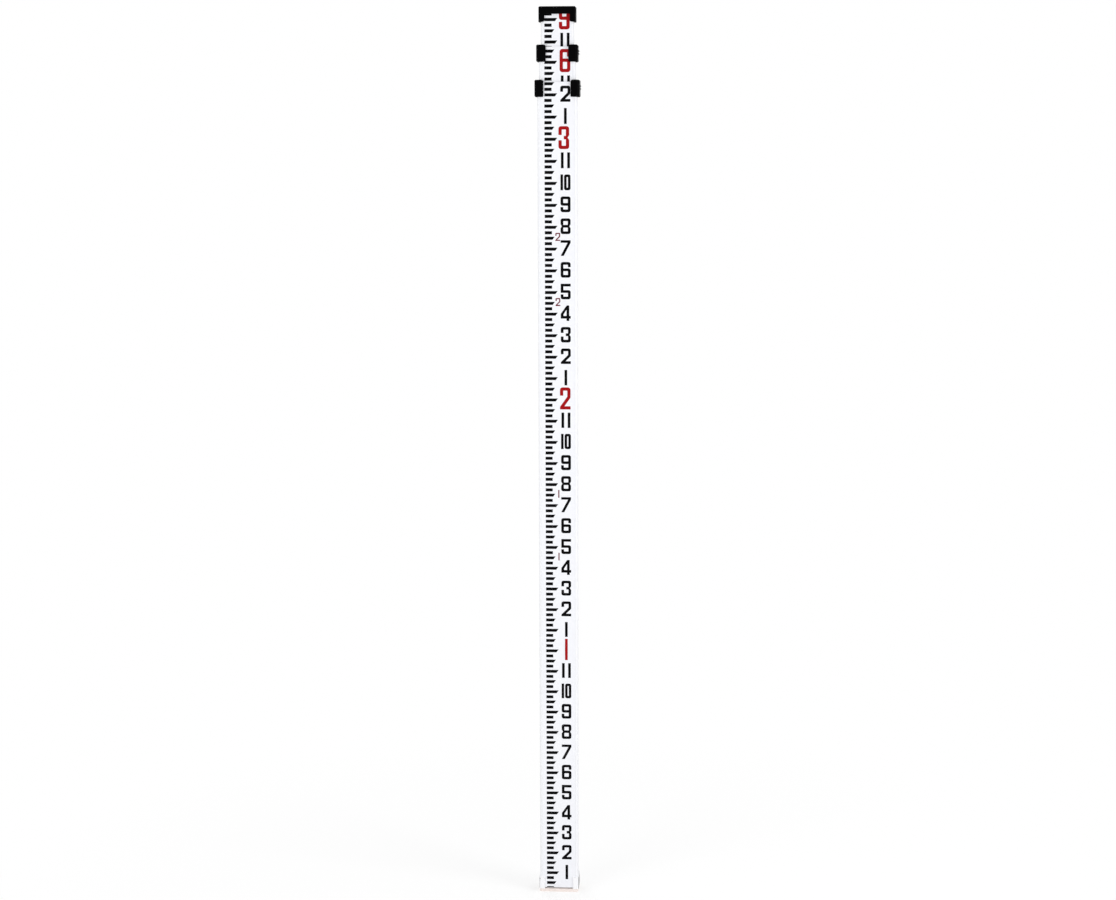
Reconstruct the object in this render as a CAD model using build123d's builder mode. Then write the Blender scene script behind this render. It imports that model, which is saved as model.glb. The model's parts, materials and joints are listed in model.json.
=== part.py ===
"""Telescoping leveling staff of three aluminium sections, closed for carrying.

Millimetres. +Z runs up the staff from the underside of its foot, +X is to the right as one reads
the scale, and the graduated front faces -Y.
"""

import os
from collections import namedtuple
from math import cos, radians, sin

from build123d import *

os.makedirs("parts", exist_ok=True)

# Sections: one rectangular tube inside the next
base_width = 46.0
base_depth = 25.0
section_wall = 1.3
section_gap = 0.7  # free space between one section and the next, on every side
section_corner = 2.2
bore_corner = 1.0
seat_corner = 1.2  # cut corner of a bore that sits round a section's rounded corner

# Heights with the staff closed, and how far the two inner sections pull out
base_top = 978.6
middle_rise = 40.0
top_rise = 41.9
middle_travel = 826.5
top_travel = 865.9

# Scale strips, let into a shallow recess between two bare rails
strip_rail = 2.8
strip_recess = 0.35
strip_thickness = 0.25

# Foot
plate_thickness = 3.9
plate_inset = 0.7
plate_corner = 1.8
boot_wall = 1.2
boot_floor = 1.6
boot_height = 15.0
boot_leg = 7.2
boot_setback = 2.4  # the floor's front edge lies this far behind the section's front
boot_corner = 2.4
boot_edge = 0.6
boss_width = 8.0
boss_height = 5.0
plate_screw_spacing = 26.0
plate_screw_diameter = 3.0
plate_screw_head = 5.6
plate_screw_sink = 0.2
plate_screw_length = 9.0
foot_screw_spacing = 26.0
foot_screw_rise = 4.6

# Pan-head screws through the shoe and the cap
pan_shank_diameter = 2.9
pan_head_diameter = 5.6
pan_head_height = 1.7
pan_screw_reach = 2.0  # how far the tip stands inside the tube

# Guides and bumpers inside the tubes
foot_bumper_thickness = 3.0
middle_bumper_thickness = 2.0
bumper_margin = 0.8
guide_flange = 6.0
guide_plug = 12.0
guide_clearance = 0.2
guide_lead = 0.6
rest_gap = 0.1  # a landed guide stands this far off its bumper
guide_rivet_diameter = 3.0
guide_rivet_length = 6.0

# Collars
collar_wall = 3.1
collar_front = 2.0
base_collar_lap = 7.2  # how far each front lip covers the section's face
middle_collar_lap = 7.9
collar_skirt = 17.3
collar_lip = 2.3
collar_clearance = 0.25
collar_corner = 2.0
collar_edge = 1.0
lap_round = 2.5  # upper inner corner of each front lip
lap_chamfer = 1.0  # lower inner corner
rivet_spacing = 27.0
rivet_diameter = 3.2
rivet_head_diameter = 5.4
rivet_head_height = 1.2

# Latches: a rocker in the right-hand side of each collar
latch_height = 14.4
latch_width = 11.4
latch_thickness = 1.5
latch_proud = 0.3
latch_margin = 0.3
latch_rise = 2.0  # lower edge of the latch's window above the collar's lower edge
pivot_drop = 1.0  # the pivot lies this far below the latch's middle
pivot_diameter = 1.5
pivot_clearance = 0.05
pivot_engagement = 3.0
pivot_inset = 1.4  # the pin's end lies this far inside the collar's back
hub_wall = 0.55
latch_room = 0.3
latch_drop = 12.0  # degrees that the tooth swings into the inner section
tooth_height = 2.8
tooth_width = 5.0
tooth_inset = 0.2  # tooth's lower face above the latch's lower end
tooth_ramp = 1.3
tooth_clearance = 0.2
slot_above = 1.2
slot_below = 0.7
slot_side = 0.4
rib_count = 2
rib_pitch = 3.2
rib_radius = 1.0
rib_rise = 2.4  # middle of the ribs above the pivot
rib_inset = 0.9
latch_edge = 0.6
spring_thickness = 0.3
spring_width = 6.0
spring_clearance = 0.05

# Cap
cap_wall = 2.5
cap_roof = 3.7
cap_height = 17.5
cap_bar = 8.5
cap_leg = 6.8
cap_leg_radius = 2.0
cap_corner = 2.6
cap_edge = 1.0
cap_screw_spacing = 20.0
cap_screw_rise = 5.5

# Stack of heights, from the ground up
base_bottom = plate_thickness + boot_floor
boss_top = base_bottom + boss_height
foot_bumper_top = boss_top + foot_bumper_thickness
middle_guide_bottom = foot_bumper_top + rest_gap
middle_bottom = middle_guide_bottom + guide_flange
middle_bumper_bottom = middle_bottom + guide_plug
top_guide_bottom = middle_bumper_bottom + middle_bumper_thickness + rest_gap
top_bottom = top_guide_bottom + guide_flange
middle_top = base_top + middle_rise
top_top = middle_top + top_rise
cap_bottom = top_top + cap_roof - cap_height

# The latch's layout, measured outwards from the side of the tube that it sits on
hub_radius = pivot_diameter / 2 + hub_wall
pivot_out = latch_room + hub_radius
lower_arm = latch_height / 2 - pivot_drop
upper_arm = latch_height / 2 + pivot_drop
arm_inner = latch_room + lower_arm * sin(radians(latch_drop)) + pivot_out * (1 - cos(radians(latch_drop)))
arm_outer = arm_inner + latch_thickness
latch_wall = arm_outer - latch_proud
tooth_low = tooth_inset - lower_arm
tooth_high = tooth_low + tooth_height
tooth_reach = section_wall + section_gap - tooth_clearance

Stage = namedtuple("Stage", "width depth bottom top")
section_step = 2 * (section_wall + section_gap)
base = Stage(base_width, base_depth, base_bottom, base_top)
middle = Stage(base_width - section_step, base_depth - section_step, middle_bottom, middle_top)
top = Stage(base_width - 2 * section_step, base_depth - 2 * section_step, top_bottom, top_top)


def pivot_height(stage):
    """Height of the latch's pivot on the collar of this section."""
    return stage.top - collar_skirt + latch_rise + latch_margin + lower_arm


def pivot_plane(stage):
    """Plane through the latch's pivot, seen from the front: x outwards, y up."""
    origin = (stage.width / 2 + pivot_out, 0, pivot_height(stage))
    return Plane(origin=origin, x_dir=(1, 0, 0), z_dir=(0, -1, 0))


def tooth_slot(stage):
    """Lowest and highest point of the slot that the tooth of this section's latch swings in."""
    pivot = pivot_height(stage)
    return pivot + tooth_low - slot_below, pivot + tooth_high + slot_above


def back_places(spacing, surface, height):
    """Planes of two holes side by side in a back face, each facing outwards."""
    return [Plane(origin=(x, surface, height), z_dir=(0, 1, 0)) for x in (-spacing / 2, spacing / 2)]


def side_places(width, height):
    """Planes of two holes in the left and right side, each facing outwards."""
    return [Plane(origin=(x, 0, height), z_dir=(x, 0, 0)) for x in (-width / 2, width / 2)]


def under_places(height):
    """Planes of the wear plate's two screws at this height, each facing down."""
    half = plate_screw_spacing / 2
    return [Plane(origin=(x, 0, height), z_dir=(0, 0, -1)) for x in (-half, half)]


def rivet_height(stage):
    """Height of the two rivets in the collar of this section."""
    return stage.top - collar_skirt / 2


def guide_rivet_height(stage):
    """Height of the two flush rivets that hold the guide in the lower end of this section."""
    return stage.bottom + guide_plug / 2


def section(stage, slots, back_holes, back_hole_diameter, side_hole_height=None):
    """A drawn tube with the strip recess in front, slots in its right wall and its rivet holes."""
    length = stage.top - stage.bottom
    with BuildPart() as tube:
        with BuildSketch(Plane.XY.offset(stage.bottom)):
            RectangleRounded(stage.width, stage.depth, section_corner)
        extrude(amount=length)
        with BuildSketch(Plane.XY.offset(stage.bottom)) as bore:
            Rectangle(stage.width - 2 * section_wall, stage.depth - 2 * section_wall)
            chamfer(bore.vertices(), length=bore_corner)
        extrude(amount=length, mode=Mode.SUBTRACT)
        with BuildSketch(Plane.XY.offset(stage.bottom)):
            with Locations((0, -stage.depth / 2)):
                Rectangle(stage.width - 2 * strip_rail, 2 * strip_recess)
        extrude(amount=length, mode=Mode.SUBTRACT)
        for low, high in slots:
            with Locations((stage.width / 2, 0, (low + high) / 2)):
                Box(3 * section_wall, tooth_width + 2 * slot_side, high - low, mode=Mode.SUBTRACT)
        with Locations(*back_holes):
            Hole(back_hole_diameter / 2, depth=2 * section_wall)
        if side_hole_height is not None:
            with Locations(*side_places(stage.width, side_hole_height)):
                Hole(guide_rivet_diameter / 2, depth=2 * section_wall)
    return tube.part


def scale_strip(stage):
    """The printed film that lies in the section's front recess."""
    with BuildPart() as strip:
        with BuildSketch(Plane.XY.offset(stage.bottom)):
            with Locations((0, -stage.depth / 2 + strip_recess - strip_thickness / 2)):
                Rectangle(stage.width - 2 * strip_rail, strip_thickness)
        extrude(amount=stage.top - stage.bottom)
    return strip.part


def collar(stage, inner, lap):
    """Moulded collar: a sleeve with an open front, a guide lip on top and the latch's window."""
    bottom = stage.top - collar_skirt
    outer_width = stage.width + collar_wall + latch_wall
    outer_depth = stage.depth + collar_wall + collar_front
    middle_x = (latch_wall - collar_wall) / 2
    middle_y = (collar_wall - collar_front) / 2
    front_opening = stage.width - 2 * lap
    lap_range = (-front_opening / 2, front_opening / 2)
    window_width = latch_width + 2 * latch_margin
    window_height = latch_height + 2 * latch_margin
    with BuildPart() as sleeve:
        with BuildSketch(Plane.XY.offset(bottom)) as outline:
            with Locations((middle_x, middle_y)):
                Rectangle(outer_width, outer_depth)
            chamfer(outline.vertices(), length=collar_corner)
        extrude(amount=collar_skirt + collar_lip)
        rims = sleeve.faces().filter_by(Axis.Z)
        chamfer(rims.edges(), length=collar_edge)
        with Locations((0, -outer_depth / 2, stage.top)):
            Box(front_opening, outer_depth, 2 * (collar_skirt + collar_lip), mode=Mode.SUBTRACT)
        lap_edges = sleeve.edges().filter_by(Axis.Y).filter_by_position(Axis.X, *lap_range)
        fillet(lap_edges.group_by(Axis.Z)[-1], radius=lap_round)
        lap_edges = sleeve.edges().filter_by(Axis.Y).filter_by_position(Axis.X, *lap_range)
        chamfer(lap_edges.group_by(Axis.Z)[0], length=lap_chamfer)
        with BuildSketch(Plane.XY.offset(bottom)) as seat:
            Rectangle(stage.width, stage.depth)
            chamfer(seat.vertices(), length=seat_corner)
        extrude(amount=collar_skirt, mode=Mode.SUBTRACT)
        with BuildSketch(Plane.XY.offset(stage.top)) as mouth:
            Rectangle(inner.width + 2 * collar_clearance, inner.depth + 2 * collar_clearance)
            chamfer(mouth.vertices(), length=seat_corner)
        extrude(amount=collar_lip, mode=Mode.SUBTRACT)
        with Locations((stage.width / 2 + latch_wall / 2, 0, bottom + latch_rise + window_height / 2)):
            Box(2 * latch_wall, window_width, window_height, mode=Mode.SUBTRACT)
        pin_front = -window_width / 2 - pivot_engagement
        pin_back = stage.depth / 2 + collar_wall
        with BuildSketch(pivot_plane(stage).offset(-pin_back)):
            Circle(pivot_diameter / 2)
        extrude(amount=pin_back - pin_front, mode=Mode.SUBTRACT)
        with Locations(*back_places(rivet_spacing, stage.depth / 2 + collar_wall, rivet_height(stage))):
            Hole(rivet_diameter / 2, depth=collar_wall)
    return sleeve.part


def collar_rivets(stage):
    """Two rivets through the collar's back and the tube, set flush inside."""
    outside = stage.depth / 2 + collar_wall
    with BuildPart() as rivets:
        with Locations(*back_places(rivet_spacing, outside, rivet_height(stage))):
            Cylinder(
                rivet_diameter / 2,
                collar_wall + section_wall,
                align=(Align.CENTER, Align.CENTER, Align.MAX),
            )
            Cylinder(
                rivet_head_diameter / 2,
                rivet_head_height,
                align=(Align.CENTER, Align.CENTER, Align.MIN),
            )
    return rivets.part


def latch(stage):
    """Rocker latch: a plate on a round hub, a tooth at its lower end and ribs on its upper pad."""
    plate_x = arm_inner - pivot_out + latch_thickness / 2
    tip = -pivot_out - tooth_reach
    with BuildPart() as rocker:
        with BuildSketch(pivot_plane(stage)):
            with Locations((plate_x, pivot_drop)):
                Rectangle(latch_thickness, latch_height)
            Circle(hub_radius)
        extrude(amount=latch_width / 2, both=True)
        outer_edges = rocker.edges().filter_by(Axis.Y).group_by(Axis.X)[-1]
        fillet(outer_edges, radius=latch_edge)
        with BuildSketch(pivot_plane(stage)):
            with BuildLine():
                Polyline(
                    (plate_x, tooth_high),
                    (tip, tooth_high),
                    (tip, tooth_low + tooth_ramp),
                    (tip + tooth_ramp, tooth_low),
                    (plate_x, tooth_low),
                    close=True,
                )
            make_face()
        extrude(amount=tooth_width / 2, both=True)
        with BuildSketch(pivot_plane(stage)):
            with Locations((arm_outer - pivot_out, rib_rise)):
                with GridLocations(1, rib_pitch, 1, rib_count):
                    Circle(rib_radius)
        extrude(amount=latch_width / 2 - rib_inset, both=True)
        with BuildSketch(pivot_plane(stage)):
            Circle(pivot_diameter / 2 + pivot_clearance)
        extrude(amount=latch_width / 2, both=True, mode=Mode.SUBTRACT)
    return rocker.part


def latch_pin(stage):
    """Steel pin that the latch rocks on, pushed in from the collar's back."""
    front = -latch_width / 2 - latch_margin - pivot_engagement
    back = stage.depth / 2 + collar_wall - pivot_inset
    with BuildPart() as pin:
        with BuildSketch(pivot_plane(stage).offset(-back)):
            Circle(pivot_diameter / 2)
        extrude(amount=back - front)
    return pin.part


def latch_spring(stage):
    """Bowed leaf spring between the tube's side and the latch's pad."""
    low = hub_radius + latch_room
    high = upper_arm - latch_room
    foot = -pivot_out + spring_thickness / 2
    crown = arm_inner - pivot_out - spring_clearance - spring_thickness / 2
    with BuildPart() as leaf:
        with BuildSketch(pivot_plane(stage)):
            with BuildLine():
                bow = ThreePointArc((foot, low), (crown, (low + high) / 2), (foot, high))
            trace(bow, line_width=spring_thickness)
        extrude(amount=spring_width / 2, both=True)
    return leaf.part


def guide(stage, outer):
    """Moulded plug in a section's lower end, whose flange runs inside the section around it."""
    with BuildPart() as plug:
        with BuildSketch(Plane.XY.offset(stage.bottom - guide_flange)) as flange:
            Rectangle(
                outer.width - 2 * section_wall - 2 * guide_clearance,
                outer.depth - 2 * section_wall - 2 * guide_clearance,
            )
            chamfer(flange.vertices(), length=bore_corner)
        extrude(amount=guide_flange)
        chamfer(plug.faces().sort_by(Axis.Z)[0].edges(), length=guide_lead)
        with BuildSketch(Plane.XY.offset(stage.bottom)) as stem:
            Rectangle(stage.width - 2 * section_wall, stage.depth - 2 * section_wall)
            chamfer(stem.vertices(), length=bore_corner)
        extrude(amount=guide_plug)
        with Locations(*side_places(stage.width, guide_rivet_height(stage))):
            Hole(guide_rivet_diameter / 2, depth=guide_rivet_length)
    return plug.part


def guide_rivets(stage):
    """Two rivets, flush with the tube's sides, that hold the guide."""
    with BuildPart() as rivets:
        with Locations(*side_places(stage.width, guide_rivet_height(stage))):
            Cylinder(
                guide_rivet_diameter / 2,
                guide_rivet_length,
                align=(Align.CENTER, Align.CENTER, Align.MAX),
            )
    return rivets.part


def bumper(stage, bottom, thickness):
    """Rubber pad across the inside of a section."""
    margin = 2 * (section_wall + bumper_margin)
    with BuildPart() as pad:
        with BuildSketch(Plane.XY.offset(bottom)) as outline:
            Rectangle(stage.width - margin, stage.depth - margin)
            chamfer(outline.vertices(), length=bore_corner)
        extrude(amount=thickness)
    return pad.part


def pan_screws(places, grip):
    """Pan-head screws, one at each place, through walls of this thickness."""
    with BuildPart() as screws:
        with Locations(*places):
            Cylinder(
                pan_head_diameter / 2,
                pan_head_height,
                align=(Align.CENTER, Align.CENTER, Align.MIN),
            )
            Cylinder(
                pan_shank_diameter / 2,
                grip + pan_screw_reach,
                align=(Align.CENTER, Align.CENTER, Align.MAX),
            )
    return screws.part


def finish(part, name):
    """Label a finished piece and write it out."""
    part.label = name
    export_step(part, f"parts/{name}.step")


# Base section
foot_screw_height = plate_thickness + foot_screw_rise
foot_screw_places = back_places(foot_screw_spacing, base_depth / 2 + boot_wall, foot_screw_height)
base_holes = back_places(rivet_spacing, base_depth / 2, rivet_height(base))
with BuildPart() as base_section:
    add(section(base, [tooth_slot(base)], base_holes, rivet_diameter))
    with Locations(*foot_screw_places):
        Hole(pan_shank_diameter / 2, depth=boot_wall + 2 * section_wall)
finish(base_section.part, "base_section")
finish(scale_strip(base), "base_scale_strip")

# Shoe round the lower end: sides, back and two front legs on a floor with screw bosses
with BuildPart() as foot_boot:
    boot_width = base_width + 2 * boot_wall
    boot_depth = base_depth + 2 * boot_wall
    boot_opening = boot_width - 2 * boot_leg
    with BuildSketch(Plane.XY.offset(plate_thickness)):
        RectangleRounded(boot_width, boot_depth, boot_corner)
    extrude(amount=boot_height)
    chamfer(foot_boot.faces().sort_by(Axis.Z)[-1].edges(), length=boot_edge)
    with BuildSketch(Plane.XY.offset(base_bottom)) as boot_seat:
        Rectangle(base_width, base_depth)
        chamfer(boot_seat.vertices(), length=seat_corner)
    extrude(amount=boot_height, mode=Mode.SUBTRACT)
    with Locations((0, -base_depth / 2, plate_thickness + boot_height / 2)):
        Box(boot_opening, 2 * boot_setback, boot_height, mode=Mode.SUBTRACT)
    leg_edges = foot_boot.edges().filter_by(Axis.Z).group_by(Axis.Y)[0].group_by(SortBy.DISTANCE)[0]
    chamfer(leg_edges, length=boot_edge)
    with Locations(*under_places(base_bottom)):
        Box(boss_width, boss_width, boss_height, align=(Align.CENTER, Align.CENTER, Align.MAX))
    with Locations(*under_places(plate_thickness)):
        Hole(plate_screw_diameter / 2, depth=plate_screw_length - plate_thickness)
    with Locations(*foot_screw_places):
        Hole(pan_shank_diameter / 2, depth=boot_wall)
finish(foot_boot.part, "foot_boot")
finish(pan_screws(foot_screw_places, boot_wall + section_wall), "foot_screws")

# Wear plate under the shoe, with its countersunk screws
with BuildPart() as wear_plate:
    with BuildSketch() as plate_outline:
        Rectangle(boot_width - 2 * plate_inset, boot_depth - 2 * plate_inset)
        chamfer(plate_outline.vertices(), length=plate_corner)
    extrude(amount=plate_thickness)
    with Locations(*under_places(0)):
        CounterSinkHole(
            plate_screw_diameter / 2,
            plate_screw_head / 2 + plate_screw_sink,
            depth=plate_thickness,
            counter_sink_angle=90,
        )
finish(wear_plate.part, "wear_plate")

with BuildPart() as wear_plate_screws:
    head_taper = (plate_screw_head - plate_screw_diameter) / 2
    with Locations(*under_places(plate_screw_sink)):
        Cone(
            plate_screw_diameter / 2,
            plate_screw_head / 2,
            head_taper,
            align=(Align.CENTER, Align.CENTER, Align.MAX),
        )
        Cylinder(
            plate_screw_diameter / 2,
            plate_screw_length - plate_screw_sink,
            align=(Align.CENTER, Align.CENTER, Align.MAX),
        )
finish(wear_plate_screws.part, "wear_plate_screws")
finish(bumper(base, boss_top, foot_bumper_thickness), "foot_bumper")

# Middle section, with a slot for the base latch's tooth when closed and one when pulled out
closed_low, closed_high = tooth_slot(base)
middle_slots = [
    tooth_slot(middle),
    (closed_low, closed_high),
    (closed_low - middle_travel, closed_high - middle_travel),
]
middle_holes = back_places(rivet_spacing, middle.depth / 2, rivet_height(middle))
middle_tube = section(middle, middle_slots, middle_holes, rivet_diameter, guide_rivet_height(middle))
finish(middle_tube, "middle_section")
finish(scale_strip(middle), "middle_scale_strip")
finish(guide(middle, base), "middle_guide")
finish(guide_rivets(middle), "middle_guide_rivets")
finish(bumper(middle, middle_bumper_bottom, middle_bumper_thickness), "middle_bumper")

# Top section, with the same two slots for the middle latch's tooth
closed_low, closed_high = tooth_slot(middle)
top_slots = [
    (closed_low, closed_high),
    (closed_low - top_travel, closed_high - top_travel),
]
cap_screw_height = cap_bottom + cap_screw_rise
top_holes = back_places(cap_screw_spacing, top.depth / 2, cap_screw_height)
top_tube = section(top, top_slots, top_holes, pan_shank_diameter, guide_rivet_height(top))
finish(top_tube, "top_section")
finish(scale_strip(top), "top_scale_strip")
finish(guide(top, middle), "top_guide")
finish(guide_rivets(top), "top_guide_rivets")

# Collars with their latches
for name, stage, inner, lap in (
    ("base", base, middle, base_collar_lap),
    ("middle", middle, top, middle_collar_lap),
):
    finish(collar(stage, inner, lap), f"{name}_collar")
    finish(collar_rivets(stage), f"{name}_collar_rivets")
    finish(latch(stage), f"{name}_latch")
    finish(latch_pin(stage), f"{name}_latch_pin")
    finish(latch_spring(stage), f"{name}_latch_spring")

# Cap over the top section's end, with a bar and two short legs in front
cap_screw_places = back_places(cap_screw_spacing, top.depth / 2 + cap_wall, cap_screw_height)
with BuildPart() as top_cap:
    cap_width = top.width + 2 * cap_wall
    cap_depth = top.depth + 2 * cap_wall
    with BuildSketch(Plane.XY.offset(cap_bottom)):
        RectangleRounded(cap_width, cap_depth, cap_corner)
    extrude(amount=cap_height)
    chamfer(top_cap.faces().sort_by(Axis.Z)[-1].edges(), length=cap_edge)
    with BuildSketch(Plane.XY.offset(cap_bottom)) as cap_seat:
        Rectangle(top.width, top.depth)
        chamfer(cap_seat.vertices(), length=seat_corner)
    extrude(amount=cap_height - cap_roof, mode=Mode.SUBTRACT)
    with Locations((0, -cap_depth / 2, cap_bottom)):
        Box(
            cap_width - 2 * cap_leg,
            cap_depth / 2,
            2 * (cap_height - cap_bar),
            mode=Mode.SUBTRACT,
        )
    fillet(
        top_cap.edges().filter_by(Axis.Y).group_by(Axis.Y)[0].group_by(Axis.Z)[0],
        radius=cap_leg_radius,
    )
    with Locations(*cap_screw_places):
        Hole(pan_shank_diameter / 2, depth=cap_wall)
finish(top_cap.part, "top_cap")
finish(pan_screws(cap_screw_places, cap_wall + section_wall), "top_cap_screws")
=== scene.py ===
"""Looks of the closed three-section leveling staff: finishes, printed scale, fasteners, light and camera.

Metres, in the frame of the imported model: +Z runs up the staff from the underside of its foot, +X is to
the right as one reads the scale, and the graduated front faces -Y. Sizes written with MM are millimetres.
"""

import json
import math

import bmesh
import bpy
from mathutils import Matrix, Vector
from mathutils.geometry import tessellate_polygon


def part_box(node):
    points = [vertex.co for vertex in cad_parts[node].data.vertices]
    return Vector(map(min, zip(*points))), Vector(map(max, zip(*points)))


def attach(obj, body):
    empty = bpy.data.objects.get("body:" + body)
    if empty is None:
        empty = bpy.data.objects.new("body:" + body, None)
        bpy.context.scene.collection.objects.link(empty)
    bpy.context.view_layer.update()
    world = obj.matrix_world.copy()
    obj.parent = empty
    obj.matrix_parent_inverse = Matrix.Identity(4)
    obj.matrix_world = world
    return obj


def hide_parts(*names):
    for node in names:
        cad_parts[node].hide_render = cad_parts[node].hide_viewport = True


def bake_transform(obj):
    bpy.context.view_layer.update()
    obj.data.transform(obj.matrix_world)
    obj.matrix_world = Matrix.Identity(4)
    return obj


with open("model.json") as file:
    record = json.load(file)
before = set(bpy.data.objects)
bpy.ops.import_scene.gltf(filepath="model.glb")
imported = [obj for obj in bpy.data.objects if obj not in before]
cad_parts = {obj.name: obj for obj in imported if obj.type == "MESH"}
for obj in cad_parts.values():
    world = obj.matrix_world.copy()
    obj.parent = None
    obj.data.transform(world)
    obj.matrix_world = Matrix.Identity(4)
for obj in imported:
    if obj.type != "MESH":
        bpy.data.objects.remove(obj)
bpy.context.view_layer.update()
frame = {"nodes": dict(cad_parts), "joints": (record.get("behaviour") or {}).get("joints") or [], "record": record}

MM = 0.001
INCH = 0.0254
FOOT_INCHES = 12
X, Y, Z = range(3)

# Photograph's frame and the camera that took it
IMAGE_WIDTH = 1116
SENSOR_WIDTH = 36.0
FOCAL_PIXELS = 2034.7
CAMERA_PLACE = Vector((0.1633, -2.3949, 0.9118))
CAMERA_PAN = math.radians(-3.918)
CAMERA_PITCH = math.radians(-8.658)
CAMERA_ROLL = math.radians(-0.148)

# Scale print: a bar's or figure's drop and rise are measured from its reading to its middle
INK_THICKNESS = 0.05 * MM
PRINT_OVERLAP = 1  # inches of scale that a section repeats from the end of the one below
BAR_LEFT = -14.7 * MM
BAR_HEIGHT = 3.6 * MM
BAR_DROP = INCH / 16
BAR_SLANT = 2.6 * MM
SHORT_BAR = 8.4 * MM
HALF_INCH_BAR = 11.6 * MM
INCH_BAR = 14.9 * MM
BARS_PER_INCH = 4
BARS_PER_HALF_INCH = 2
INCH_FIGURE_CENTRE = 9.65 * MM
SHIFTED_INCH_CENTRES = {(8, 11): 9.1 * MM}  # by feet and inches
INCH_FIGURE_WIDTH = 11.7 * MM
INCH_FIGURE_HEIGHT = 18.3 * MM
INCH_FIGURE_STROKE = 3.2 * MM
THIN_INCH_STROKES = {7: 3.0 * MM, 10: 3.0 * MM}
INCH_FIGURE_DROP = 0.35 * MM
FOOT_FIGURE_CENTRE = 8.9 * MM
SHIFTED_FOOT_CENTRES = {1: 9.6 * MM, 3: 7.8 * MM, 6: 9.2 * MM, 9: 8.4 * MM}
FOOT_FIGURE_WIDTH = 12.5 * MM
FOOT_FIGURE_HEIGHT = 26.3 * MM
FOOT_FIGURE_STROKE = 3.85 * MM
THIN_FOOT_STROKES = {1: 3.3 * MM}
FOOT_FIGURE_RISE = 0.3 * MM
ELEVEN_SPACING = 7.4 * MM
TEN_NOUGHT_WIDTH = 7.5 * MM
REPEATER_CENTRE = 0.5 * MM
SHIFTED_REPEATER_CENTRES = {1: 1.0 * MM}
REPEATER_WIDTH = 5.6 * MM
REPEATER_HEIGHT = 9.4 * MM
REPEATER_STROKE = 1.35 * MM
REPEATER_INCHES = (4.5, 7.5)
ARC_STEPS = 5

# Radii of a figure's corners and the notches of its waist, in strokes
OUTER_ROUND = 0.8
INNER_ROUND = 0.15
BEND_ROUND = 0.5
ELBOW_ROUND = 0.4
WAIST_RISE = 0.75
WAIST_DEPTH = 0.45

# Fasteners
TURN_STEPS = 40
DOME_STEPS = 6
ON_AXIS = 0.001 * MM  # a ring no wider than this is a single point
SHARP_ANGLE = math.radians(35)
RIVET_HEAD = 1.2 * MM
RIVET_RIM = 0.3 * MM
RIVET_SHANK = 1.6 * MM
RIVET_BREAK = 0.12 * MM
MANDREL_HOLE = 1.0 * MM
MANDREL = 0.8 * MM
MANDREL_LOW = 0.45 * MM
MANDREL_HIGH = 0.62 * MM
SCREW_SHANK = 1.45 * MM
SCREW_POINT = 1.6 * MM
PAN_HEAD = 1.7 * MM
PAN_RIM = 0.7 * MM
SUNK_HEAD = 0.0
SUNK_RIM = 0.15 * MM
RECESS_SPAN = 3.2 * MM
RECESS_WIDTH = 0.9 * MM
RECESS_DEPTH = 1.1 * MM
RECESS_TAPER = 0.45

# Finishes: what the cloudy patterns, worn edges and masks have in common
CLOUD_LOW = 0.3
CLOUD_HIGH = 0.7
CLOUD_ROUGHNESS = 0.55
BEVEL_SAMPLES = 6
EDGE_FROM = 0.995  # cosine of the turn between the flat and the rounded normal
EDGE_FULL = 0.86
FACING_FROM = 0.8
FACING_FULL = 0.95
PIECE_MIDDLE = 0.5
DARK_PATCH_HEIGHT = 0.8  # in the shoe's height
SHOE_METALLIC = 0.5
INK_GLOSS = 0.03

# Studio: white floor that keeps a shadow, white surroundings, broad soft lamps
FLOOR_SIZE = 8.0
FLOOR_GAP = 0.1 * MM
FLOOR_CLOUDS = 0.5
FLOOR_ROUGHNESS = 0.9
FLOOR_GLOW = 0.47
SHADOW_REACH = 0.2
WHITE_FROM = 0.7
WORLD_LIGHT = 0.7
WORLD_SEEN = 1.0
LAMPS = (
    {
        "name": "key", "place": (-1.8, -2.4, 0.7), "aim": (0, 0, 0.45),
        "width": 1.6, "height": 1.4, "power": 22.5,
    },
    {
        "name": "side", "place": (2.2, -1.2, 0.7), "aim": (0, 0, 0.45),
        "width": 1.2, "height": 1.4, "power": 22,
    },
    {
        "name": "back", "place": (-0.6, 2.4, 1.4), "aim": (0, 0, 0.5),
        "width": 1.6, "height": 2.0, "power": 10,
    },
)


def colour(red, green, blue):
    """Linear colour with full alpha."""
    return (red, green, blue, 1.0)


WHITE = colour(1, 1, 1)
COAT_DULL = colour(0.88, 0.888, 0.925)
COAT_CLEAR = colour(0.9, 0.905, 0.93)
COAT_RUBBED = colour(0.83, 0.84, 0.855)
BARE_ALUMINIUM = colour(0.72, 0.73, 0.74)
FILM_DULL = colour(0.885, 0.893, 0.942)
FILM_CLEAR = colour(0.9, 0.906, 0.945)
FILM_FLECKS = colour(0.885, 0.892, 0.93)
FILM_EDGE_GREY = colour(0.84, 0.85, 0.88)
RUBBED_BLACK = colour(0.035, 0.035, 0.036)
SHOE_DULL = colour(0.925, 0.925, 0.95)
SHOE_CLEAR = colour(0.945, 0.945, 0.97)
SHOE_WORN = colour(0.8, 0.8, 0.81)
# Bare outer sides of the shoe: painted shade at their front, turning to a painted sheen towards their back
SHOE_PAINTED_SHADE_METAL = colour(0.1, 0.099, 0.097)
SHOE_PAINTED_SHEEN_METAL = colour(0.6, 0.6, 0.605)
FLOOR_DULL = colour(0.8, 0.8, 0.8)
FLOOR_CLEAR = colour(0.82, 0.82, 0.82)
FLOOR_SEEN = colour(0.6, 0.6, 0.6)


def linked(name, mesh):
    """A new object of this mesh, in the scene."""
    piece = bpy.data.objects.new(name, mesh)
    bpy.context.scene.collection.objects.link(piece)
    return piece


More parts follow.
